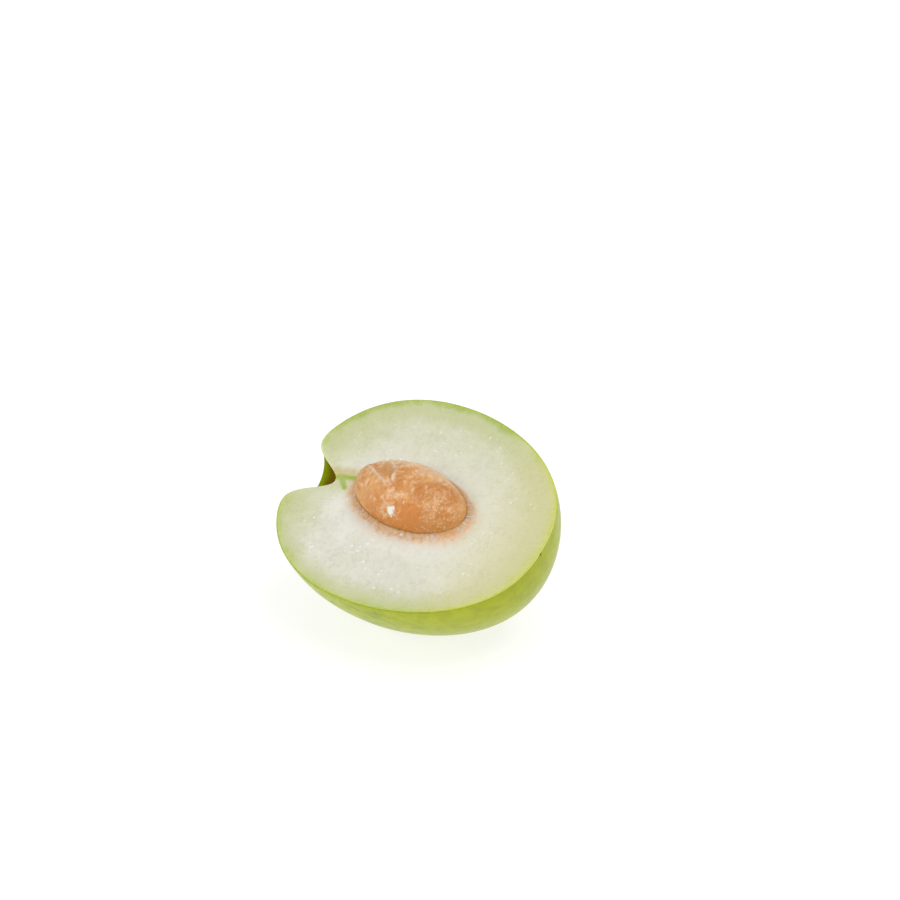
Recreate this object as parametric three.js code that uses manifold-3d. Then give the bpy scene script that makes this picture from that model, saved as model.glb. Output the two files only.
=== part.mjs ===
/**
 * Half of a fresh green jujube, cut lengthwise, with the whole stone still lying in it.
 *
 * The whole fruit is turned about its core line, which runs along X with the stem end at -X,
 * and then made a little lopsided, as grown. A knife plane through the core line halves it, the
 * stone's bed is cut out of the flesh, and the half leans over to lie on a small flat on its
 * belly. Millimetres, +Z up; the flat is at z = 0 and the half is centred over the origin.
 */
import * as THREE from 'three';
import { mergeVertices } from 'three/addons/utils/BufferGeometryUtils.js';
import Module from 'manifold-3d';

// Driving dimensions, in millimetres. A fullness is a superellipse power: 2 gives an ellipse,
// more gives squarer shoulders and less a sharper end.
const fruit = {
	stemLength: 29.5, // from the widest section to the shoulders round the stem hollow
	blossomLength: 34.5, // from the widest section to the blossom end
	highSide: 27.3, // from the core line to the skin, across the cut face and upwards
	lowSide: 25.1, // the same, downwards
	depth: 29.6, // from the cut face to the skin behind it
	stemFullness: 2.26,
	blossomFullness: 1.88,
	girthFullness: 2.3
};
const stemHollow = { depth: 10.5, width: 4.7 };
const stone = { length: 28.4, diameter: 15.6, fullness: 1.95 };
const stonePlace = new THREE.Vector3( 0.3, 1.8, 0.3 ); // its middle, from the core line's middle
const stoneYaw = THREE.MathUtils.degToRad( - 2 );
const bedGap = 0.3; // between the stone and the flesh under it
const lean = THREE.MathUtils.degToRad( 29.5 ); // of the cut face, away from level
const flatRise = 0.9; // height of belly that the resting flat takes off

// How finely the turned shapes are faceted
const fruitFacets = { along: 44, around: 72 };
const stoneFacets = { along: 20, around: 32 };

const wasm = await Module();
wasm.setup();

// A superellipse in the upper half plane, from its far end to its near end: x runs along the
// axis and y is the radius.
function roundProfile( steps, frontLength, frontFullness, backLength, backFullness, radius, girthFullness ) {

	const points = [];
	for ( let i = 0; i <= steps; i ++ ) {

		const angle = Math.PI * i / steps;
		const ahead = Math.cos( angle );
		const x = ahead > 0
			? frontLength * ahead ** ( 2 / frontFullness )
			: - backLength * Math.abs( ahead ) ** ( 2 / backFullness );
		const onAxis = i === 0 || i === steps;
		const y = onAxis ? 0 : radius * Math.sin( angle ) ** ( 2 / girthFullness );
		points.push( new THREE.Vector2( x, y ) );

	}

	return points;

}

// Turns a profile of ( x, radius ) points about the X axis.
function turn( profile, around ) {

	const upright = profile.map( ( p ) => new THREE.Vector2( p.y, p.x ) ).reverse();
	return new THREE.LatheGeometry( upright, around ).rotateZ( - Math.PI / 2 );

}

function solidOf( geometry ) {

	const bare = geometry.clone();
	bare.deleteAttribute( 'normal' );
	bare.deleteAttribute( 'uv' );
	const merged = mergeVertices( bare );
	return new wasm.Manifold( new wasm.Mesh( {
		numProp: 3,
		vertProperties: new Float32Array( merged.attributes.position.array ),
		triVerts: new Uint32Array( merged.index.array )
	} ) );

}

function geometryOf( solid ) {

	const { vertProperties, triVerts } = solid.getMesh();
	const geometry = new THREE.BufferGeometry();
	geometry.setAttribute( 'position', new THREE.BufferAttribute( vertProperties, 3 ) );
	geometry.setIndex( new THREE.BufferAttribute( triVerts, 1 ) );
	geometry.computeVertexNormals();
	return geometry;

}

// The whole fruit, with its core line along X and its stem hollow at -X.
function wholeFruit() {

	const radius = ( fruit.highSide + fruit.lowSide ) / 2;
	const profile = roundProfile(
		fruitFacets.along, fruit.blossomLength, fruit.blossomFullness,
		fruit.stemLength, fruit.stemFullness, radius, fruit.girthFullness
	);
	for ( const p of profile ) {

		if ( p.x < 0 ) p.x += stemHollow.depth * Math.exp( - ( ( p.y / stemHollow.width ) ** 2 ) );

	}

	const geometry = turn( profile, fruitFacets.around );
	const position = geometry.attributes.position;
	const lopsided = ( fruit.highSide - fruit.lowSide ) / ( fruit.highSide + fruit.lowSide );
	for ( let i = 0; i < position.count; i ++ ) {

		const y = position.getY( i );
		const z = position.getZ( i );
		const girth = Math.hypot( y, z ) || 1;
		position.setY( i, y * ( 1 + lopsided * y / girth ) );
		position.setZ( i, z * fruit.depth / radius );

	}

	return geometry;

}

// The stone's outside, with its middle at the origin and `extra` added all round.
function stoneShape( extra ) {

	const halfLength = stone.length / 2 + extra;
	return turn( roundProfile(
		stoneFacets.along, halfLength, stone.fullness, halfLength, stone.fullness,
		stone.diameter / 2 + extra, stone.fullness
	), stoneFacets.around );

}

// A block that reaches well past the fruit in every direction below or above a level.
function block( level, side ) {

	const reach = 4 * fruit.blossomLength;
	return new THREE.BoxGeometry( reach, reach, reach ).translate( 0, 0, level + side * reach / 2 );

}

// The half as it lies: leaning, with its bed cut out and its belly flattened at its lowest.
function leaningHalf() {

	const offcut = block( 0, 1 ).rotateX( lean );
	const bed = stoneShape( bedGap ).rotateZ( stoneYaw )
		.translate( stonePlace.x, stonePlace.y, stonePlace.z ).rotateX( lean );
	const half = solidOf( wholeFruit().rotateX( lean ) )
		.subtract( solidOf( offcut ) )
		.subtract( solidOf( bed ) );
	const floor = half.boundingBox().min[ 2 ] + flatRise;
	return geometryOf( half.subtract( solidOf( block( floor, - 1 ) ) ) );

}

const fleshAndSkin = new THREE.MeshStandardMaterial( { color: 0xb4c84b, roughness: 0.4, metalness: 0 } );
const stoneFilm = new THREE.MeshStandardMaterial( { color: 0xd89c62, roughness: 0.5, metalness: 0 } );

const halfGeometry = leaningHalf();
halfGeometry.computeBoundingBox();
const { min, max } = halfGeometry.boundingBox;
const toOrigin = new THREE.Vector3( - ( min.x + max.x ) / 2, - ( min.y + max.y ) / 2, - min.z );

const fruitHalf = new THREE.Mesh( halfGeometry, fleshAndSkin );
fruitHalf.name = 'fruit_half';
fruitHalf.position.copy( toOrigin );

const fruitStone = new THREE.Mesh( stoneShape( 0 ), stoneFilm );
fruitStone.name = 'stone';
fruitStone.position.copy( stonePlace );
fruitStone.rotation.z = stoneYaw;

const leaningBed = new THREE.Group();
leaningBed.position.copy( toOrigin );
leaningBed.rotation.x = lean;
leaningBed.add( fruitStone );

const jujubeHalf = new THREE.Group();
jujubeHalf.add( fruitHalf, leaningBed );

export default jujubeHalf;
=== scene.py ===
"""Half of a fresh green jujube, cut lengthwise, with its stone lying in the pale wet flesh."""
import math

import bpy
from mathutils import Matrix, Vector


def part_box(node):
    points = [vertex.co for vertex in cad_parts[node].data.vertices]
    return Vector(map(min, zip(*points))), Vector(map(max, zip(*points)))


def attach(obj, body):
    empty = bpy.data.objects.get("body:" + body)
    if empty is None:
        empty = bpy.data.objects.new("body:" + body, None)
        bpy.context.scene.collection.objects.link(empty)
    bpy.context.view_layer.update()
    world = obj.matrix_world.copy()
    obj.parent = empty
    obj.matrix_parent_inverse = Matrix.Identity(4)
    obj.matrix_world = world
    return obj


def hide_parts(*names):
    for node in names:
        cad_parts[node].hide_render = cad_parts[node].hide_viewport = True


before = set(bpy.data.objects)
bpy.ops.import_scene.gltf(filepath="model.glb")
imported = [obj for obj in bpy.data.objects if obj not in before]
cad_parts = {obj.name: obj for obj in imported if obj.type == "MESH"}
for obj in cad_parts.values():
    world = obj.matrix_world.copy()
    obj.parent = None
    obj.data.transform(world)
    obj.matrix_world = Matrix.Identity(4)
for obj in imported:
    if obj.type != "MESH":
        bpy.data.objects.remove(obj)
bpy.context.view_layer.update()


# ---------------------------------------------------------------- fruit half: skin and flesh
# The half of a whole fruit: a thin waxy green skin over crisp white flesh, grown as one piece.
# The knife went through the core line, past the stone, so the flesh shows one flat wet face, and
# the half leans over on its belly.

# In the fruit's own frame X runs from stalk to blossom, and Z straight out of the cut face
MM = 0.001
LEAN = math.radians(29.5)
STEM_LENGTH, BLOSSOM_LENGTH = 29.5 * MM, 34.5 * MM
HIGH_SIDE, LOW_SIDE, DEPTH = 27.3 * MM, 25.1 * MM, 29.6 * MM
STEM_FULLNESS, BLOSSOM_FULLNESS, GIRTH_FULLNESS = 2.26, 1.88, 2.3
HOLLOW_DEPTH, HOLLOW_WIDTH = 10.5 * MM, 4.7 * MM
STONE_LENGTH, STONE_DIAMETER, STONE_FULLNESS = 28.4 * MM, 15.6 * MM, 1.95
STONE_YAW = math.radians(-2)
stone_middle = Vector((0.3, 1.8, 0.3)) * MM
BED_GAP = 0.02 * MM

lean_turn = Matrix.Rotation(LEAN, 4, "X")
stone_low, stone_high = (Vector(corner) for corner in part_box("stone"))
core_middle = (stone_low + stone_high) / 2 - lean_turn @ stone_middle
fruit_to_row = Matrix.Translation(core_middle) @ lean_turn


class Maths:
    """A socket of a node tree that can be used in plain sums, which add the Math nodes."""

    def __init__(self, tree, socket):
        self.tree = tree
        self.socket = socket

    def node(self, kind, settings=None, inputs=None, out=0):
        """A new node in the same tree, wired up; its result is the chosen output."""
        made = self.tree.nodes.new(kind)
        for name, value in (settings or {}).items():
            setattr(made, name, value)
        for name, value in (inputs or {}).items():
            if isinstance(value, Maths):
                self.tree.links.new(value.socket, made.inputs[name])
            else:
                made.inputs[name].default_value = value
        return Maths(self.tree, made.outputs[out] if made.outputs else None)

    def sum(self, operation, *values, clamp=False):
        settings = {"operation": operation, "use_clamp": clamp}
        return self.node("ShaderNodeMath", settings, dict(enumerate(values)))

    def __add__(self, other):
        return self.sum("ADD", self, other)

    def __radd__(self, other):
        return self.sum("ADD", other, self)

    def __sub__(self, other):
        return self.sum("SUBTRACT", self, other)

    def __rsub__(self, other):
        return self.sum("SUBTRACT", other, self)

    def __mul__(self, other):
        return self.sum("MULTIPLY", self, other)

    def __rmul__(self, other):
        return self.sum("MULTIPLY", other, self)

    def __truediv__(self, other):
        return self.sum("DIVIDE", self, other)

    def __rtruediv__(self, other):
        return self.sum("DIVIDE", other, self)

    def __pow__(self, other):
        return self.sum("POWER", self, other)

    def __gt__(self, other):
        return self.sum("GREATER_THAN", self, other)

    def __lt__(self, other):
        return self.sum("LESS_THAN", self, other)

    def __neg__(self):
        return self.sum("MULTIPLY", self, -1.0)

    def __abs__(self):
        return self.sum("ABSOLUTE", self)

    def sin(self):
        return self.sum("SINE", self)

    def cos(self):
        return self.sum("COSINE", self)

    def exp(self):
        return self.sum("EXPONENT", self)

    def root(self):
        return self.sum("SQRT", self)

    def least(self, other):
        return self.sum("MINIMUM", self, other)

    def most(self, other):
        return self.sum("MAXIMUM", self, other)

    def clamp(self):
        return self.sum("ADD", self, 0.0, clamp=True)

    def hump(self, width):
        """1 at 0, falling off on both sides like a bell of this half width."""
        return (-((self / width) ** 2.0)).exp()

    def step(self, low, high):
        """0 below low, 1 above high, and smooth between."""
        smooth = {"interpolation_type": "SMOOTHSTEP"}
        return self.node("ShaderNodeMapRange", smooth, {"Value": self, "From Min": low, "From Max": high})

    def vector(self, y, z):
        return self.node("ShaderNodeCombineXYZ", None, {"X": self, "Y": y, "Z": z})

    def parts(self):
        split = self.node("ShaderNodeSeparateXYZ", None, {0: self})
        return [Maths(self.tree, part) for part in split.socket.node.outputs]


def length_of(y, z):
    """The length of the vector with these two parts."""
    return (y * y + z * z).root()


def new_tree(name, inputs):
    """A Geometry Nodes tree with one mesh in, one out, and the named sizes as inputs.

    It comes back with its incoming mesh and its sizes, ready for sums.
    """
    tree = bpy.data.node_groups.new(name, "GeometryNodeTree")
    tree.interface.new_socket("Geometry", in_out="INPUT", socket_type="NodeSocketGeometry")
    for label, value in inputs.items():
        kind = "NodeSocketInt" if isinstance(value, int) else "NodeSocketFloat"
        tree.interface.new_socket(label, in_out="INPUT", socket_type=kind)
    tree.interface.new_socket("Geometry", in_out="OUTPUT", socket_type="NodeSocketGeometry")
    entry = tree.nodes.new("NodeGroupInput")
    sizes = {label: Maths(tree, entry.outputs[label]) for label in inputs}
    return tree, Maths(tree, entry.outputs["Geometry"]), sizes


def grown(name, tree, result, values, start=None, turn=fruit_to_row):
    """Runs a tree with these sizes and returns its mesh as a plain object in the row's frame.

    The tree starts from the mesh given as start, or from nothing.
    """
    result.node("NodeGroupOutput", None, {"Geometry": result})
    base = start or bpy.data.meshes.new(name + "_start")
    piece = bpy.data.objects.new(name, base)
    bpy.context.scene.collection.objects.link(piece)
    modifier = piece.modifiers.new("shape", "NODES")
    modifier.node_group = tree
    for item in tree.interface.items_tree:
        if item.item_type == "SOCKET" and item.in_out == "INPUT" and item.name in values:
            modifier[item.identifier] = values[item.name]
    bpy.context.view_layer.update()
    ready = piece.evaluated_get(bpy.context.evaluated_depsgraph_get())
    mesh = bpy.data.meshes.new_from_object(ready)
    piece.modifiers.remove(modifier)
    piece.data = mesh
    if mesh.materials[0] is None:
        mesh.materials.pop(index=0)
    mesh.name = name
    mesh.transform(turn)
    mesh.shade_smooth()
    mesh.update()
    return piece


def meridian(ahead, across, s):
    """Along the core line and out from it, for a place on the skin's long outline."""
    front = s["Blossom length"] * ahead.most(0.0) ** (2.0 / s["Blossom fullness"])
    back = s["Stem length"] * (-ahead).most(0.0) ** (2.0 / s["Stem fullness"])
    girth = s["Radius"] * across.most(0.0) ** (2.0 / s["Girth fullness"])
    hollow = s["Hollow depth"] * (girth / s["Hollow width"]).hump(1.0) * (ahead < 0.0)
    return front - back + hollow, girth


def grid_of(tree, across, along):
    """A grid of the given counts, with its own two counts running 0 to 1 as fields."""
    maker = Maths(tree, None)
    grid = maker.node("GeometryNodeMeshGrid", None,
                      {"Size X": 1.0, "Size Y": 1.0, "Vertices X": across, "Vertices Y": along})
    place = maker.node("GeometryNodeInputPosition")
    u, v, _ = place.parts()
    return grid, u + 0.5, v + 0.5


def placed(grid, x, y, z):
    """The grid with each point at these fruit-frame coordinates."""
    return grid.node("GeometryNodeSetPosition", None, {"Geometry": grid, "Position": x.vector(y, z)})


def clad(geometry, material, chosen=True):
    """The geometry with this material on its chosen faces."""
    settings = {"Geometry": geometry, "Selection": chosen, "Material": material}
    return geometry.node("GeometryNodeSetMaterial", None, settings)


def turned_over(geometry):
    return geometry.node("GeometryNodeFlipFaces", None, {"Mesh": geometry})


def realized(geometry):
    return geometry.node("GeometryNodeRealizeInstances", None, {"Geometry": geometry})


def joined(tree, parts, tiny=0.004 * MM):
    """The parts as one mesh, with the points that meet at seams and poles made one."""
    join = tree.nodes.new("GeometryNodeJoinGeometry")
    for part in parts:
        tree.links.new(part.socket, join.inputs[0])
    whole = Maths(tree, join.outputs[0])
    return whole.node("GeometryNodeMergeByDistance", None, {"Geometry": whole, "Distance": tiny})


def soft_noise(field, scale, detail=2.0, rough=0.5, seed=0.0, spread=0.0):
    """Noise about 0 at this many blotches to the metre."""
    settings = {"noise_dimensions": "4D", "normalize": True}
    inputs = {"Vector": field, "W": seed, "Scale": scale, "Detail": detail,
              "Roughness": rough, "Distortion": spread}
    return field.node("ShaderNodeTexNoise", settings, inputs) - 0.5


def from_dots(field, scale, scatter=1.0):
    """Distance from the nearest of scattered dots, this many to the metre, in shares of their spacing."""
    inputs = {"Vector": field, "Scale": scale, "Randomness": scatter}
    return field.node("ShaderNodeTexVoronoi", {"feature": "F1"}, inputs)


def colour(text):
    """A shader colour from the usual six hex digits."""
    channels = [int(text[i:i + 2], 16) / 255 for i in (0, 2, 4)]
    linear = [c / 12.92 if c <= 0.04045 else ((c + 0.055) / 1.055) ** 2.4 for c in channels]
    return (*linear, 1.0)


def blend(low, high, share):
    """Colour low going over to colour high as share goes from 0 to 1."""
    settings = {"data_type": "RGBA", "blend_type": "MIX", "clamp_factor": True}
    factor_input, low_input, high_input, colour_output = 0, 6, 7, 2
    inputs = {factor_input: share, low_input: low, high_input: high}
    return share.node("ShaderNodeMix", settings, inputs, colour_output)


def new_material(name, **settings):
    """A material, its shader with what is the same all over the surface, and its Object coordinates."""
    material = bpy.data.materials.new(name)
    material.use_nodes = True
    tree = material.node_tree
    shader = next(node for node in tree.nodes if node.type == "BSDF_PRINCIPLED")
    for label, value in settings.items():
        shader.inputs[label.replace("_", " ")].default_value = value
    place = Maths(tree, tree.nodes.new("ShaderNodeTexCoord").outputs["Object"])
    return material, shader, place


def in_fruit(place):
    """Object coordinates brought into the fruit's own frame."""
    settings = {"Vector": place, "Location": core_middle, "Rotation": (LEAN, 0.0, 0.0)}
    return place.node("ShaderNodeMapping", {"vector_type": "TEXTURE"}, settings)


def finish_shader(shader, base, rough, height=None, depth=0.0):
    """Colour and roughness into the shader, and where a height is given, relief of this depth."""
    tree = base.tree
    tree.links.new(base.socket, shader.inputs["Base Color"])
    tree.links.new(rough.socket, shader.inputs["Roughness"])
    if height is not None:
        bump = base.node("ShaderNodeBump", None, {"Height": height, "Distance": depth, "Strength": 1.0})
        tree.links.new(bump.socket, shader.inputs["Normal"])


def from_line(x, y, start, end):
    """Distance from the straight line between two points of the cut face, both in millimetres."""
    (x0, y0), (x1, y1) = start, end
    length = math.hypot(x1 - x0, y1 - y0) * MM
    dx, dy = (x1 - x0) * MM / length, (y1 - y0) * MM / length
    out_x, out_y = x - x0 * MM, y - y0 * MM
    along = (out_x * dx + out_y * dy).most(0.0).least(length)
    return length_of(out_x - along * dx, out_y - along * dy)


def round_stone(x, y):
    """For a point of the cut face: its direction from the stone's middle, and 1 at the stone's edge."""
    share_x = (x - stone_middle.x) / (STONE_LENGTH / 2)
    share_y = (y - stone_middle.y) / (STONE_DIAMETER / 2)
    reach = length_of(share_x, share_y).most(0.01)
    return share_x / reach, share_y / reach, reach


def core_distance(y, z):
    """How far a point lies from the core line, as if the fruit were as wide all round."""
    flat_z = z * ((HIGH_SIDE + LOW_SIDE) / 2 / DEPTH)
    lopsided = (HIGH_SIDE - LOW_SIDE) / (HIGH_SIDE + LOW_SIDE)
    girth = length_of(y, flat_z).most(1e-6)
    return length_of(y * (1.0 - lopsided * y / girth), flat_z)


def rim_depth(x, y):
    """About how far inside the skin a point of the cut face lies."""
    radius = (HIGH_SIDE + LOW_SIDE) / 2
    girth = core_distance(y, y * 0.0)
    front, back = (x / BLOSSOM_LENGTH).most(0.0), (-x / STEM_LENGTH).most(0.0)
    cross = (girth / radius).most(0.0) ** GIRTH_FULLNESS
    fill = front ** BLOSSOM_FULLNESS + back ** STEM_FULLNESS + cross
    inside = (1.0 - fill ** 0.5) * (0.5 * (radius + STEM_LENGTH))
    hollow_edge = -STEM_LENGTH + HOLLOW_DEPTH * (girth / HOLLOW_WIDTH).hump(1.0)
    from_hollow = (x - hollow_edge) * 0.45 + (1.0 - girth.step(3 * MM, 9 * MM)) * 2.6 * MM
    return inside.least(from_hollow.most(0.0))


# The skin's colours and wax
def skin_material(name, gloss):
    material, shader, place = new_material(
        name, Subsurface_Weight=0.08, Subsurface_Scale=0.0012, Specular_IOR_Level=gloss,
        Subsurface_Radius=(1.0, 0.9, 0.2), Coat_Weight=gloss * 2.5, Coat_Roughness=0.1)
    fruit = in_fruit(place)
    x, y, z = fruit.parts()
    girth = core_distance(y, z)
    stem_side = (-x).step(9 * MM, 12 * MM)
    along = (x * 0.3).vector(y, z)
    cloud = soft_noise(fruit, 60.0, 3.0, 0.55, 1.0)
    streak = soft_noise(along, 300.0, 3.0, 0.6, 2.0)
    mottle = soft_noise(fruit, 480.0, 2.0, 0.6, 6.0)
    tone = (0.5 + 1.8 * cloud + 1.4 * streak + 2.4 * mottle).clamp()
    base = blend(colour("849402"), colour("acb712"), tone)
    # Paler and yellower towards the blossom end, deeper green at the shoulders
    base = blend(base, colour("b0b812"), x.step(0.0, 30 * MM) * 0.55)
    base = blend(base, colour("879c12"), (-x).step(13 * MM, 28 * MM) * 0.5)
    # A thin deeper green line where the knife bared the edge of the skin
    base = blend(base, colour("7d9110"), (1.0 - (-z).step(0.1 * MM, 0.6 * MM)) * 0.15)
    # Fine pale lenticels and a few brown flecks
    gate = soft_noise(fruit, 300.0, 1.0, 0.5, 7.0).step(-0.05, 0.12)
    lenticel = (1.0 - from_dots(fruit, 620.0).step(0.08, 0.2)) * gate
    base = blend(base, colour("d3da8a"), lenticel * 0.4)
    fleck = 1.0 - from_dots(fruit, 150.0).step(0.02, 0.05)
    base = blend(base, colour("8a8330"), fleck * 0.6)
    # The stem hollow: olive walls with ribs that run in, and the russet scar of the stalk
    safe_girth = girth.most(0.2 * MM)
    inward = (y / safe_girth).vector(z / safe_girth, girth * 40.0)
    ribs = soft_noise(inward, 2.6, 3.0, 0.6, 3.0)
    hollow = (1.0 - girth.step(3.5 * MM, 9.0 * MM)) * stem_side
    base = blend(base, colour("74800a"), (hollow * (0.8 + ribs)).clamp())
    russet = (1.0 - (girth + 2.2 * MM * ribs).step(2.6 * MM, 4.6 * MM)) * stem_side
    base = blend(base, colour("6b570a"), russet * 0.9)
    scar = (1.0 - (girth + 0.8 * MM * mottle).step(0.8 * MM, 1.9 * MM)) * stem_side
    base = blend(base, colour("2f210a"), scar * 0.9)
    # The dry blossom scar, no bigger than a pinhead
    tip = length_of(girth, x - BLOSSOM_LENGTH)
    tip_scar = x.step(20 * MM, 25 * MM) * (1.0 - tip.step(0.22 * MM, 0.45 * MM))
    base = blend(base, colour("241c0c"), tip_scar)
    peel = soft_noise(fruit, 950.0, 2.0, 0.5, 4.0)
    ripple = soft_noise(fruit, 190.0, 1.0, 0.5, 5.0)
    height = peel * 0.7 + ripple * 1.2 - lenticel * 0.2 + hollow * ribs * 2.5 - scar * 0.6
    rough = (0.38 + 0.25 * cloud + 0.15 * peel + 0.4 * hollow).clamp()
    finish_shader(shader, base, rough, height, 0.12 * MM)
    return material


# The flesh's colours: cool white and wet inside, yellow-green towards the skin
def flesh_material():
    material, shader, place = new_material(
        "wet_flesh", Subsurface_Weight=0.7, Subsurface_Scale=0.0025, Specular_IOR_Level=0.4,
        Subsurface_Radius=(1.0, 1.0, 0.7), Coat_Weight=0.2, Coat_Roughness=0.15)
    fruit = in_fruit(place)
    x, y, z = fruit.parts()
    depth = rim_depth(x, y)
    out_x, out_y, reach = round_stone(x, y)
    wide = soft_noise(fruit, 90.0, 2.0, 0.5, 11.0)
    cloud = soft_noise(fruit, 260.0, 3.0, 0.6, 18.0)
    fine = soft_noise(fruit, 900.0, 3.0, 0.65, 12.0)
    fibre = soft_noise((out_x * 26.0).vector(out_y * 26.0, reach * 2.4), 1.0, 3.0, 0.6, 13.0)
    grain = wide * 0.7 + cloud * 0.8 + fine * 0.6 + fibre * 0.45
    base = blend(colour("d6d5c3"), colour("e9e8de"), (0.5 + 1.9 * grain).clamp())
    # Whitest near the stone
    base = blend(base, colour("eff0ea"), (1.0 - reach.step(1.2, 2.3)) * 0.35)
    # Yellow-green comes in towards the skin, further on the high side and at the blossom end
    edge = depth + (wide * 3.5 + cloud * 2.0 + fibre * 1.2) * MM
    high = y.step(0.0, 24 * MM)
    base = blend(base, colour("cfd1a6"), high * 0.5)
    base = blend(colour("cbcfa2"), base, (edge - high * 1.8 * MM).step(1.5 * MM, 7.0 * MM))
    sunny = x.step(9 * MM, 30 * MM)
    base = blend(base, colour("d6d3a2"), sunny * 0.75)
    green_edge = blend(blend(colour("b9c577"), colour("abbb5c"), high), colour("cfcf86"), sunny)
    base = blend(green_edge, base, edge.step(0.0, 2.4 * MM))
    skin_edge = blend(colour("98aa34"), colour("bcc654"), sunny)
    base = blend(skin_edge, base, (depth + fine * 0.4 * MM).step(0.05 * MM, 0.6 * MM))
    # A peach stain round the stone with a ragged edge, widest on the low side
    side = (0.42 + 0.24 * out_x - 0.60 * out_y).clamp()
    ragged = (reach - 1.0 - (fibre * 0.3 + fine * 0.5 + cloud * 0.5) * side) / (0.05 + 0.46 * side)
    base = blend(base, colour("e0bd96"), (1.0 - ragged.step(0.0, 1.0)) * 0.9)
    base = blend(base, colour("dc9f5e"), (1.0 - ragged.step(-0.1, 0.6)) * (0.3 + 0.6 * side))
    # Pale fibres run out of the stain
    streak = fibre.step(0.08, 0.22) * (1.0 - reach.step(1.2, 2.0)) * reach.step(0.98, 1.1)
    base = blend(base, colour("f2efe6"), streak * (0.2 + 0.5 * side))
    # The green strand that fed the stone, with its side branch and the beige flesh beside it
    wander = (cloud * 0.9 + fine * 0.5) * MM
    beige = from_line(x, y, (-20.0, 2.0), (-15.5, 2.9)) + wander
    base = blend(base, colour("c9bb80"), (1.0 - beige.step(0.5 * MM, 2.6 * MM)) * 0.75)
    strand = from_line(x, y, (-20.0, 0.9), (-14.2, 2.4)) + wander
    branch = from_line(x, y, (-17.8, 1.0), (-15.9, -0.8)) + wander
    green = (1.0 - strand.step(0.1 * MM, 1.0 * MM)).most(1.0 - branch.step(0.1 * MM, 1.0 * MM))
    base = blend(base, colour("9cb52c"), (green * (0.85 + 1.6 * cloud + 1.0 * fine)).clamp())
    # In the bed under the stone the flesh is stained all over
    in_bed = (1.0 - z.step(-1.0 * MM, -0.15 * MM)) * (1.0 - reach.step(1.0, 1.03))
    base = blend(base, colour("cd9257"), in_bed)
    # Painted glints: white specks on the cut cells, in clusters, standing in for light off wet facets
    gather = soft_noise(fruit, 170.0, 2.0, 0.5, 16.0).step(-0.09, 0.24)
    facet = 1.0 - from_dots(fruit, 760.0).step(0.10, 0.34)
    glint = facet * gather * depth.step(2.0 * MM, 7.0 * MM)
    base = blend(base, colour("ffffff"), glint * 0.85)
    height = fine * 0.25 + cloud * 0.8 + fibre * 0.4 + glint * 0.8
    rough = (0.3 + 0.4 * fine + 0.3 * cloud - 0.15 * glint).clamp()
    finish_shader(shader, base, rough, height, 0.08 * MM)
    return material


skin = skin_material("waxy_skin", 0.1)
dull_skin = skin_material("dry_hollow", 0.0)
flesh = flesh_material()


def stone_ring(direction, long, wide):
    """How far the stone's outline lies from its middle, in a direction in the cut's plane."""
    power = STONE_FULLNESS
    lengthwise = (abs(direction.cos()) / long) ** power
    crosswise = (abs(direction.sin()) / wide) ** power
    return (lengthwise + crosswise) ** (-1.0 / power)


def rim_place(v, s):
    """The skin's edge for v from 0 to 1 round the cut, and its direction from the stone's middle."""
    turn = v * 2.0 * math.pi
    x_rim, girth = meridian(turn.cos(), abs(turn.sin()), s)
    low_half = v > 0.5
    high_y = girth * (1.0 + s["Lopsided"]) * (1.0 - low_half)
    low_y = girth * (1.0 - s["Lopsided"]) * low_half
    y_rim = high_y - low_y
    away = x_rim.sum("ARCTAN2", y_rim - stone_middle.y, x_rim - stone_middle.x)
    return x_rim, y_rim, away - STONE_YAW


def bed_place(direction, share, s):
    """A point of the cut's plane at this share of the way out to the bed's edge."""
    wide = s["Bed width"] / 2
    half_wide = (wide * wide - stone_middle.z * stone_middle.z).root()
    half_long = s["Bed length"] / 2 * (half_wide / wide)
    ring = stone_ring(direction, half_long, half_wide) * share
    x = stone_middle.x + ring * (direction + STONE_YAW).cos()
    y = stone_middle.y + ring * (direction + STONE_YAW).sin()
    return x, y


def lip_height(v, direction):
    """How high the flesh stands against the stone: most on the low side, where it is also ragged."""
    turn = v * 2.0 * math.pi
    teeth = (turn.cos() * 9.0).vector(turn.sin() * 9.0, 0.0)
    ragged = soft_noise(teeth, 1.0, 2.0, 0.5, 24.0)
    low_side = 0.5 - 0.5 * direction.sin()
    return (0.08 + low_side * (0.75 + ragged * 1.3)) * MM


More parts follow.
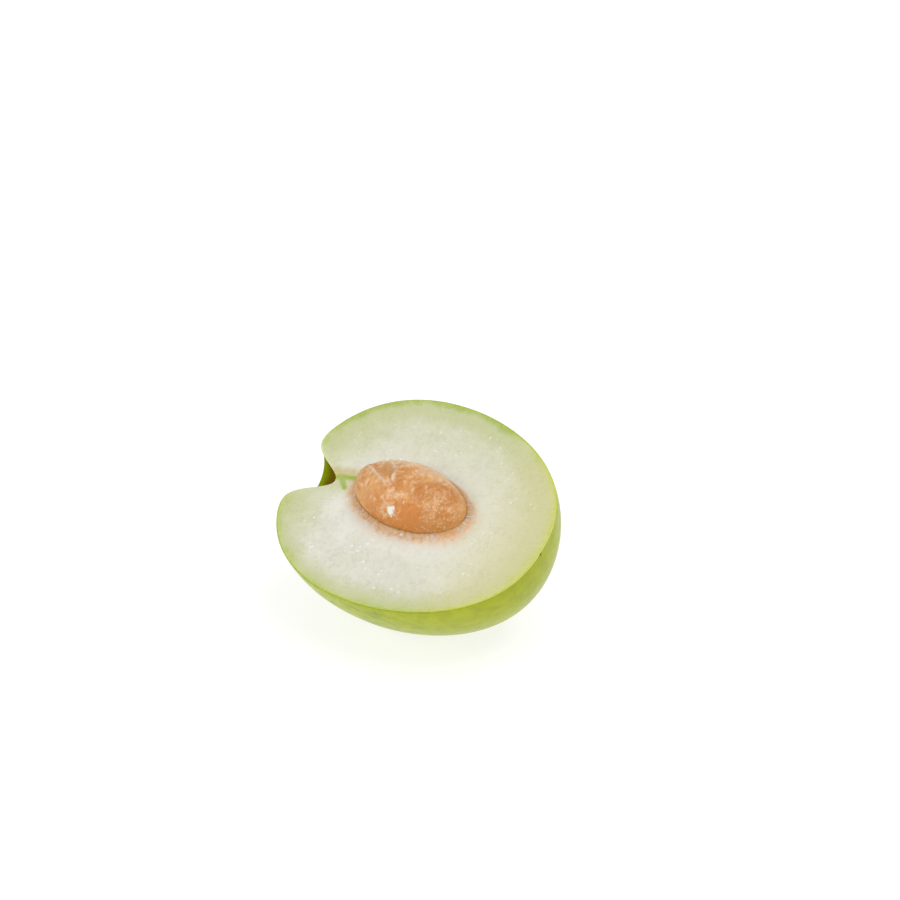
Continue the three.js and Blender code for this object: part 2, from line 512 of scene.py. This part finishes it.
def fruit_half():
    values = {
        "Stem length": STEM_LENGTH, "Blossom length": BLOSSOM_LENGTH,
        "Radius": (HIGH_SIDE + LOW_SIDE) / 2, "Depth": DEPTH,
        "Lopsided": (HIGH_SIDE - LOW_SIDE) / (HIGH_SIDE + LOW_SIDE),
        "Stem fullness": STEM_FULLNESS, "Blossom fullness": BLOSSOM_FULLNESS,
        "Girth fullness": GIRTH_FULLNESS, "Hollow depth": HOLLOW_DEPTH, "Hollow width": HOLLOW_WIDTH,
        "Bed length": STONE_LENGTH + 2 * BED_GAP, "Bed width": STONE_DIAMETER + 2 * BED_GAP,
        "Floor": -core_middle.z, "Along": 181, "Around": 121, "Rings": 56, "Bed rings": 22,
    }
    tree, _, s = new_tree("halved_fruit", values)
    radius = s["Radius"]

    # The skin, from the high side of the rim round the belly to the low side
    grid, u, v = grid_of(tree, s["Along"], s["Around"])
    ahead, across = (u * math.pi).cos(), (u * math.pi).sin()
    x, girth = meridian(ahead, across, s)
    upward, downward = (v * math.pi).cos(), (v * math.pi).sin()
    y = girth * upward * (1.0 + s["Lopsided"] * upward)
    z = -(girth * downward) * s["Depth"] / radius
    # It grew a little uneven, and it lies on the flat of its belly
    raw = x.vector(y, z)
    swell = soft_noise(raw, 45.0, 1.0, 0.5, 21.0) * 0.5 * MM * downward * (girth / radius)
    y, z = y + swell * upward, z - swell * downward
    level = y * math.sin(LEAN) + z * math.cos(LEAN)
    under = (s["Floor"] - level).most(0.0)
    y, z = y + under * math.sin(LEAN), z + under * math.cos(LEAN)
    in_hollow = (x < -14 * MM) * (girth < 6.5 * MM)
    skin_side = placed(clad(clad(grid, skin), dull_skin, in_hollow), x, y, z)

    # The cut face, in rings from the bed's edge out to the skin's edge
    grid, u, v = grid_of(tree, s["Rings"], s["Along"] * 2 - 1)
    x_rim, y_rim, direction = rim_place(v, s)
    x_bed, y_bed = bed_place(direction, 1.0, s)
    x, y = x_bed + (x_rim - x_bed) * u, y_bed + (y_rim - y_bed) * u
    flat = x.vector(y, 0.0)
    waves = soft_noise(flat, 150.0, 2.0, 0.5, 22.0) * 0.35 * MM
    grains = soft_noise(flat, 900.0, 2.0, 0.6, 23.0) * 0.14 * MM
    fade = u.step(0.97, 0.80) * u.step(0.0, 0.08)
    lip_share = (u / -0.04).exp()
    z = (waves + grains) * fade + lip_share * lip_height(v, direction)
    cut_side = clad(placed(grid, x, y, z), flesh)

    # The bed that the stone lies in, from its edge down to its deepest point
    grid, u, v = grid_of(tree, s["Bed rings"], s["Along"] * 2 - 1)
    direction = rim_place(v, s)[2]
    down = u * (math.pi / 2)
    x, y = bed_place(direction, down.cos(), s)
    bed_depth = (s["Bed width"] / 2 - stone_middle.z) * down.sin()
    z = (1.0 - u.step(0.0, 0.1)) * lip_height(v, direction) - bed_depth
    bed_side = clad(placed(grid, x, y, z), flesh)

    result = realized(joined(tree, [turned_over(skin_side), cut_side, turned_over(bed_side)]))
    return grown("fruit_half_flesh", tree, result, values)


half = fruit_half()
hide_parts("fruit_half")
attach(half, "root")


# ---------------------------------------------------------------- stone
# The hard stone, whole, in the moist peach-coloured film that it pulls out of the flesh.
# The film is thin, wrinkled and torn at the stalk end, where the knife dragged it into two folds.

# Each pair is one straight stretch of a fold, in millimetres from the stone's middle
FOLDS = [((-10.8, 2.2), (-7.2, 0.4)), ((-7.2, 0.4), (-3.2, -1.6)),
         ((-7.4, 5.4), (-2.9, 2.8)), ((-2.9, 2.8), (-1.4, -0.4))]


def fold_ridge(x, y, width):
    """1 along the folds of loose film, falling to 0 beside them; x and y from the stone's middle."""
    near = from_line(x, y, *FOLDS[0])
    for line in FOLDS[1:]:
        near = near.least(from_line(x, y, *line))
    return near.hump(width)


def film_material():
    material, shader, place = new_material(
        "moist_film", Subsurface_Weight=0.5, Subsurface_Scale=0.0014, Specular_IOR_Level=0.5,
        Subsurface_Radius=(1.0, 0.75, 0.45), Coat_Weight=0.25, Coat_Roughness=0.15)
    fruit = in_fruit(place)
    x, y, z = fruit.parts()
    sx, sy = x - stone_middle.x, y - stone_middle.y
    broad = soft_noise(fruit, 150.0, 3.0, 0.6, 31.0, 0.6)
    fine = soft_noise(fruit, 900.0, 3.0, 0.65, 32.0)
    vein = soft_noise(fruit, 380.0, 4.0, 0.7, 33.0, 1.4)
    tone = (0.5 + 3.2 * broad + 1.6 * fine + 1.2 * vein).clamp()
    base = blend(colour("cc863e"), colour("e4ac69"), tone)
    # Milky film in wisps, and painted light: the top of the stone paler, as if lit from above. Painted
    # shade: deeper orange low on the near side
    painted_lit_top = (sy + vein * 9.0 * MM).step(1.5 * MM, 6.5 * MM)
    milky_film_and_lit_top = (vein.step(0.0, 0.12) * 0.7 + painted_lit_top * 0.75).clamp()
    base = blend(base, colour("edc8a4"), milky_film_and_lit_top * z.step(0.3 * MM, 3 * MM) * 0.95)
    # Painted shade: the near, low side of the stone darker orange, as if turned away from the light
    low_side = (-sy + broad * 14.0 * MM + vein * 9.0 * MM).step(3.6 * MM, 6.0 * MM)
    base = blend(base, colour("d3801c"), low_side * sx.step(-13 * MM, -2 * MM) * 0.85)
    blossom_end = (sx - 9.5 * MM + vein * 5.0 * MM).step(-2.5 * MM, 2.0 * MM)
    base = blend(base, colour("dc8f3c"), blossom_end * (0.4 - sy * 60.0).clamp() * 0.65)
    # Painted shade: browner in the dent between the folds
    painted_shade_dent = 1.0 - length_of(sx + 5.4 * MM, sy - 2.0 * MM).step(1.2 * MM, 2.6 * MM)
    base = blend(base, colour("cf9659"), painted_shade_dent * 0.7)
    # Pale pores at the blossom end
    pores = 1.0 - from_dots(fruit, 1300.0, 0.9).step(0.2, 0.42)
    speck = pores * sx.step(5.5 * MM, 9.0 * MM) * (1.0 - sy.step(-1 * MM, 3 * MM))
    base = blend(base, colour("f0cfa4"), speck * 0.75)
    # Pale wisps, thickest round the painted glint, and the two folds
    near_glint = length_of(sx + 0.6 * MM, sy + 5.0 * MM).hump(3.0 * MM)
    wisp = (vein + fine * 0.8 + near_glint * 0.2).step(0.12, 0.24)
    base = blend(base, colour("ecca9f"), wisp * 0.6)
    fold = fold_ridge(sx + vein * 2.4 * MM, sy - broad * 3.0 * MM, 0.5 * MM) * z.step(2 * MM, 4 * MM)
    base = blend(base, colour("ecd6bd"), fold * (0.6 + 1.5 * fine + vein))
    # Painted glint: a small white spot standing in for a wet highlight. Then the orange skirt where the
    # film goes down into the flesh, brightened as painted bounce light
    from_glint = length_of((sx - 0.4 * MM) * 0.7, sy + 6.2 * MM) + (fine + vein) * 2.4 * MM
    painted_glint = 1.0 - from_glint.step(0.3 * MM, 0.75 * MM)
    base = blend(base, colour("f5f4ea"), painted_glint)
    # Partly painted light: the orange film at the flesh line is made brighter, standing in for warm
    # bounce light in the crease
    skirt_and_painted_bounce = 1.0 - (z + fine * 1.2 * MM).step(0.2 * MM, 1.5 * MM)
    base = blend(base, colour("f3ad5e"), skirt_and_painted_bounce * 0.9)
    height = broad * 1.5 + vein * 1.8 + fine * 0.9 + speck * 0.6 + fold * 0.8
    rough = (0.36 + 0.45 * fine + 0.3 * broad - 0.15 * painted_glint).clamp()
    finish_shader(shader, base, rough, height, 0.22 * MM)
    return material


film = film_material()


def whole_stone():
    values = {"Length": STONE_LENGTH, "Width": STONE_DIAMETER, "Fullness": STONE_FULLNESS,
              "Wrinkle": 0.6 * MM, "Along": 201, "Around": 181}
    tree, _, s = new_tree("stone_in_film", values)
    grid, u, v = grid_of(tree, s["Along"], s["Around"])
    power = 2.0 / s["Fullness"]
    ahead, across = (u * math.pi).cos(), (u * math.pi).sin()
    side = (ahead > 0.0) * 2.0 - 1.0
    x = s["Length"] / 2 * side * abs(ahead) ** power
    girth = s["Width"] / 2 * across.most(0.0) ** power
    turn = v * 2.0 * math.pi
    y, z = girth * turn.cos(), girth * turn.sin()
    place = x.vector(y, z)
    long_folds = x.vector(y * 2.2, z * 2.2)
    # Folds of loose film, only above the flesh, and a slack dent where the knife dragged it
    fold = soft_noise(long_folds, 75.0, 3.0, 0.6, 41.0, 0.8)
    crease = abs(soft_noise(place, 160.0, 2.0, 0.5, 42.0, 1.2))
    ridge = 1.0 - crease.step(0.0, 0.09)
    small = soft_noise(place, 700.0, 2.0, 0.6, 43.0)
    free = z.step(0.0, 2.5 * MM)
    shift = (fold * 1.6 + ridge * 0.35 + small * 0.35 - 0.35) * s["Wrinkle"] * (0.25 + 0.75 * free)
    dent = length_of(x + 6.0 * MM, y - 2.5 * MM).hump(3.2 * MM) * free
    shift = shift - dent * 0.7 * MM
    sway = soft_noise(place, 380.0, 4.0, 0.7, 33.0, 1.4)
    ridge_line = fold_ridge(x + sway * 2.4 * MM, y - fold * 2.0 * MM, 0.4 * MM)
    shift = shift + ridge_line * 0.28 * MM * z.step(2 * MM, 4 * MM)
    shift = shift.least(0.45 * MM * free) * across.step(0.0, 0.15)
    grow = 1.0 + shift / girth.most(1 * MM)
    cos_yaw, sin_yaw = math.cos(STONE_YAW), math.sin(STONE_YAW)
    y, z = y * grow, z * grow
    across_y = x * sin_yaw + y * cos_yaw
    along_x = x * cos_yaw - y * sin_yaw
    body = placed(grid, along_x + stone_middle.x, across_y + stone_middle.y, z + stone_middle.z)
    return grown("stone_in_film", tree, realized(joined(tree, [clad(body, film)])), values)


stone = whole_stone()
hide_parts("stone")
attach(stone, "root")


# ---------------------------------------------------------------- juice beads
# Beads of juice that stand on the freshly cut flesh, where the knife opened its cells. Each is a
# flattened drop, part sunk into the wet surface.
def juice_material():
    material, shader, place = new_material(
        "juice", Specular_IOR_Level=0.7, Coat_Weight=0.6, Coat_Roughness=0.05)
    tone = soft_noise(place, 400.0, 1.0, 0.5, 51.0)
    # Painted highlight: the clear juice is coloured near white, so that each bead shows as a bright speck
    base = blend(colour("e6e6d8"), colour("ffffff"), (0.6 + tone).clamp())
    finish_shader(shader, base, (0.1 + 0.1 * tone).clamp())
    return material


def juice_beads():
    values = {"Density": 300000.0, "Smallest": 0.03 * MM, "Largest": 0.15 * MM,
              "Place seed": 5, "Size seed": 9, "Segments": 8, "Bands": 5}
    tree, cut, s = new_tree("juice_on_the_cut", values)
    place = cut.node("GeometryNodeInputPosition")
    _, y, z = place.parts()
    # Only on the cut face: flesh that looks up and isn't down in the stone's bed
    material_index = cut.node("GeometryNodeInputMaterialIndex")
    is_flesh = abs(material_index - half.data.materials.find("wet_flesh")) < 0.5
    up = cut.node("GeometryNodeInputNormal").parts()[2]
    above_cut = (z - core_middle.z) * math.cos(LEAN) - (y - core_middle.y) * math.sin(LEAN)
    on_cut = is_flesh * (up > 0.7) * (above_cut > -0.6 * MM)
    clusters = soft_noise(place, 170.0, 2.0, 0.5, 16.0).step(-0.02, 0.22) + 0.08
    drops = cut.node("GeometryNodeDistributePointsOnFaces", None, {
        "Mesh": cut, "Selection": on_cut, "Density": s["Density"] * clusters, "Seed": s["Place seed"]})
    bead = cut.node("GeometryNodeMeshUVSphere", None, {
        "Segments": s["Segments"], "Rings": s["Bands"], "Radius": 1.0})
    share = cut.node("FunctionNodeRandomValue", {"data_type": "FLOAT"}, {"Seed": s["Size seed"]}, 1)
    size = s["Smallest"] + (s["Largest"] - s["Smallest"]) * share * share
    placed_beads = cut.node("GeometryNodeInstanceOnPoints", None, {
        "Points": drops, "Instance": bead, "Scale": size.vector(size, size * 0.7)})
    result = clad(realized(placed_beads), juice_material())
    return grown("juice_beads", tree, result, values, half.data.copy(), Matrix())


beads = juice_beads()
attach(beads, "root")


# ---------------------------------------------------------------- pulled fibres
# Short wisps of flesh that held on to the stone and were drawn out flat when the knife passed,
# thick at the stone's edge and fine at their tips. Most are at the blossom end.
def fibre_material():
    material, shader, place = new_material(
        "drawn_flesh", Specular_IOR_Level=0.5, Subsurface_Weight=0.3, Subsurface_Scale=0.0008)
    tone = soft_noise(place, 500.0, 2.0, 0.5, 61.0)
    base = blend(colour("efd8bd"), colour("fdf8ee"), (0.5 + 1.5 * tone).clamp())
    finish_shader(shader, base, (0.3 + 0.2 * tone).clamp())
    return material


def pulled_fibres():
    values = {"Count": 170, "First": -2.3, "Last": 0.6, "Shortest": 0.6 * MM, "Longest": 2.6 * MM,
              "Thick": 0.06 * MM, "Edge height": 0.36 * MM}
    tree, start, s = new_tree("fibres_round_the_stone", values)

    def random(low, high, seed):
        inputs = {2: low, 3: high, "Seed": seed}
        return start.node("FunctionNodeRandomValue", {"data_type": "FLOAT"}, inputs, 1)

    # Each starts on the lip of flesh, round the stone from the first direction to the last
    turn = random(s["First"], s["Last"], 1)
    long, wide = STONE_LENGTH / 2, STONE_DIAMETER / 2
    out = random(0.96, 1.08, 2)
    x = stone_middle.x + turn.cos() * long * out
    y = stone_middle.y + turn.sin() * wide * out
    z = s["Edge height"] + (1.0 - out) * 5.0 * MM
    points = start.node("GeometryNodePoints", None, {"Count": s["Count"], "Position": x.vector(y, z)})
    wisp = start.node("GeometryNodeMeshCone", None, {
        "Vertices": 6, "Radius Top": 0.15, "Radius Bottom": 1.0, "Depth": 1.0})
    # It lies away from the stone, and slopes down on to the cut face
    square_out = x.sum("ARCTAN2", turn.sin() * long, turn.cos() * wide)
    heading = square_out + random(-0.35, 0.35, 3)
    slope = random(1.64, 1.84, 4)
    thick = s["Thick"] * random(0.5, 1.2, 5)
    length = random(s["Shortest"], s["Longest"], 6)
    laid = start.node("GeometryNodeInstanceOnPoints", None, {
        "Points": points, "Instance": wisp,
        "Rotation": (slope * 0.0).vector(slope, heading), "Scale": thick.vector(thick, length)})
    return grown("pulled_fibres", tree, clad(realized(laid), fibre_material()), values)


fibres = pulled_fibres()
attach(fibres, "root")


# ---------------------------------------------------------------- floor, lights and camera
# A sweep of white paper that glows a little, so that shadows on it stay pale, a big soft lamp
# above on the right, a weaker one in front on the left, and an even white room around.
def white_floor(half_width, base, glow):
    corners = [(-half_width, -half_width, 0), (half_width, -half_width, 0),
               (half_width, half_width, 0), (-half_width, half_width, 0)]
    mesh = bpy.data.meshes.new("floor")
    mesh.from_pydata(corners, [], [(0, 1, 2, 3)])
    floor = bpy.data.objects.new("floor", mesh)
    bpy.context.scene.collection.objects.link(floor)
    material, shader, _ = new_material("white_paper", Roughness=0.6, Specular_IOR_Level=0.2)
    shader.inputs["Base Color"].default_value = (base, base, base, 1.0)
    shader.inputs["Emission Color"].default_value = (1.0, 1.0, 1.0, 1.0)
    shader.inputs["Emission Strength"].default_value = glow
    mesh.materials.append(material)


def soft_lamp(name, place, width, watts, tint):
    """A round soft lamp that looks at the middle of the fruit."""
    data = bpy.data.lights.new(name, "AREA")
    data.shape = "DISK"
    data.size = width
    data.energy = watts
    data.color = tint
    lamp = bpy.data.objects.new(name, data)
    bpy.context.scene.collection.objects.link(lamp)
    lamp.location = place
    aim = Vector((0.0, 0.0, 0.02)) - Vector(place)
    lamp.rotation_euler = aim.to_track_quat("-Z", "Y").to_euler()


def white_room(strength):
    world = bpy.data.worlds.new("studio")
    world.use_nodes = True
    background = world.node_tree.nodes["Background"]
    background.inputs["Color"].default_value = (1.0, 1.0, 1.0, 1.0)
    background.inputs["Strength"].default_value = strength
    bpy.context.scene.world = world


def camera(toward, upward, distance, shift_right, shift_up, lens):
    """A camera at this distance from a point that lies right of and above the fruit's middle."""
    back = Vector(toward).normalized()
    up = Vector(upward)
    up = (up - up.dot(back) * back).normalized()
    right = up.cross(back)
    data = bpy.data.cameras.new("camera")
    data.lens = lens
    data.sensor_width = 36.0
    data.clip_start = 0.01
    data.clip_end = 20.0
    made = bpy.data.objects.new("camera", data)
    bpy.context.scene.collection.objects.link(made)
    seat = core_middle + shift_right * right + shift_up * up + distance * back
    made.matrix_world = Matrix.Translation(seat) @ Matrix((right, up, back)).transposed().to_4x4()
    bpy.context.scene.camera = made


white_floor(3.0, 0.36, 0.76)
soft_lamp("big_soft_lamp", (0.34, 0.06, 0.84), 0.60, 3.3, (1.0, 0.99, 0.96))
soft_lamp("front_fill", (-0.45, -0.80, 0.50), 0.60, 3.0, (1.0, 1.0, 1.0))
white_room(0.51)
bpy.context.scene.view_settings.view_transform = "Standard"
camera(toward=(0.5128, -0.7182, 0.4703), upward=(-0.274, 0.3824, 0.8825), distance=514.22 * MM,
       shift_right=9.499 * MM, shift_up=11.927 * MM, lens=96.5)
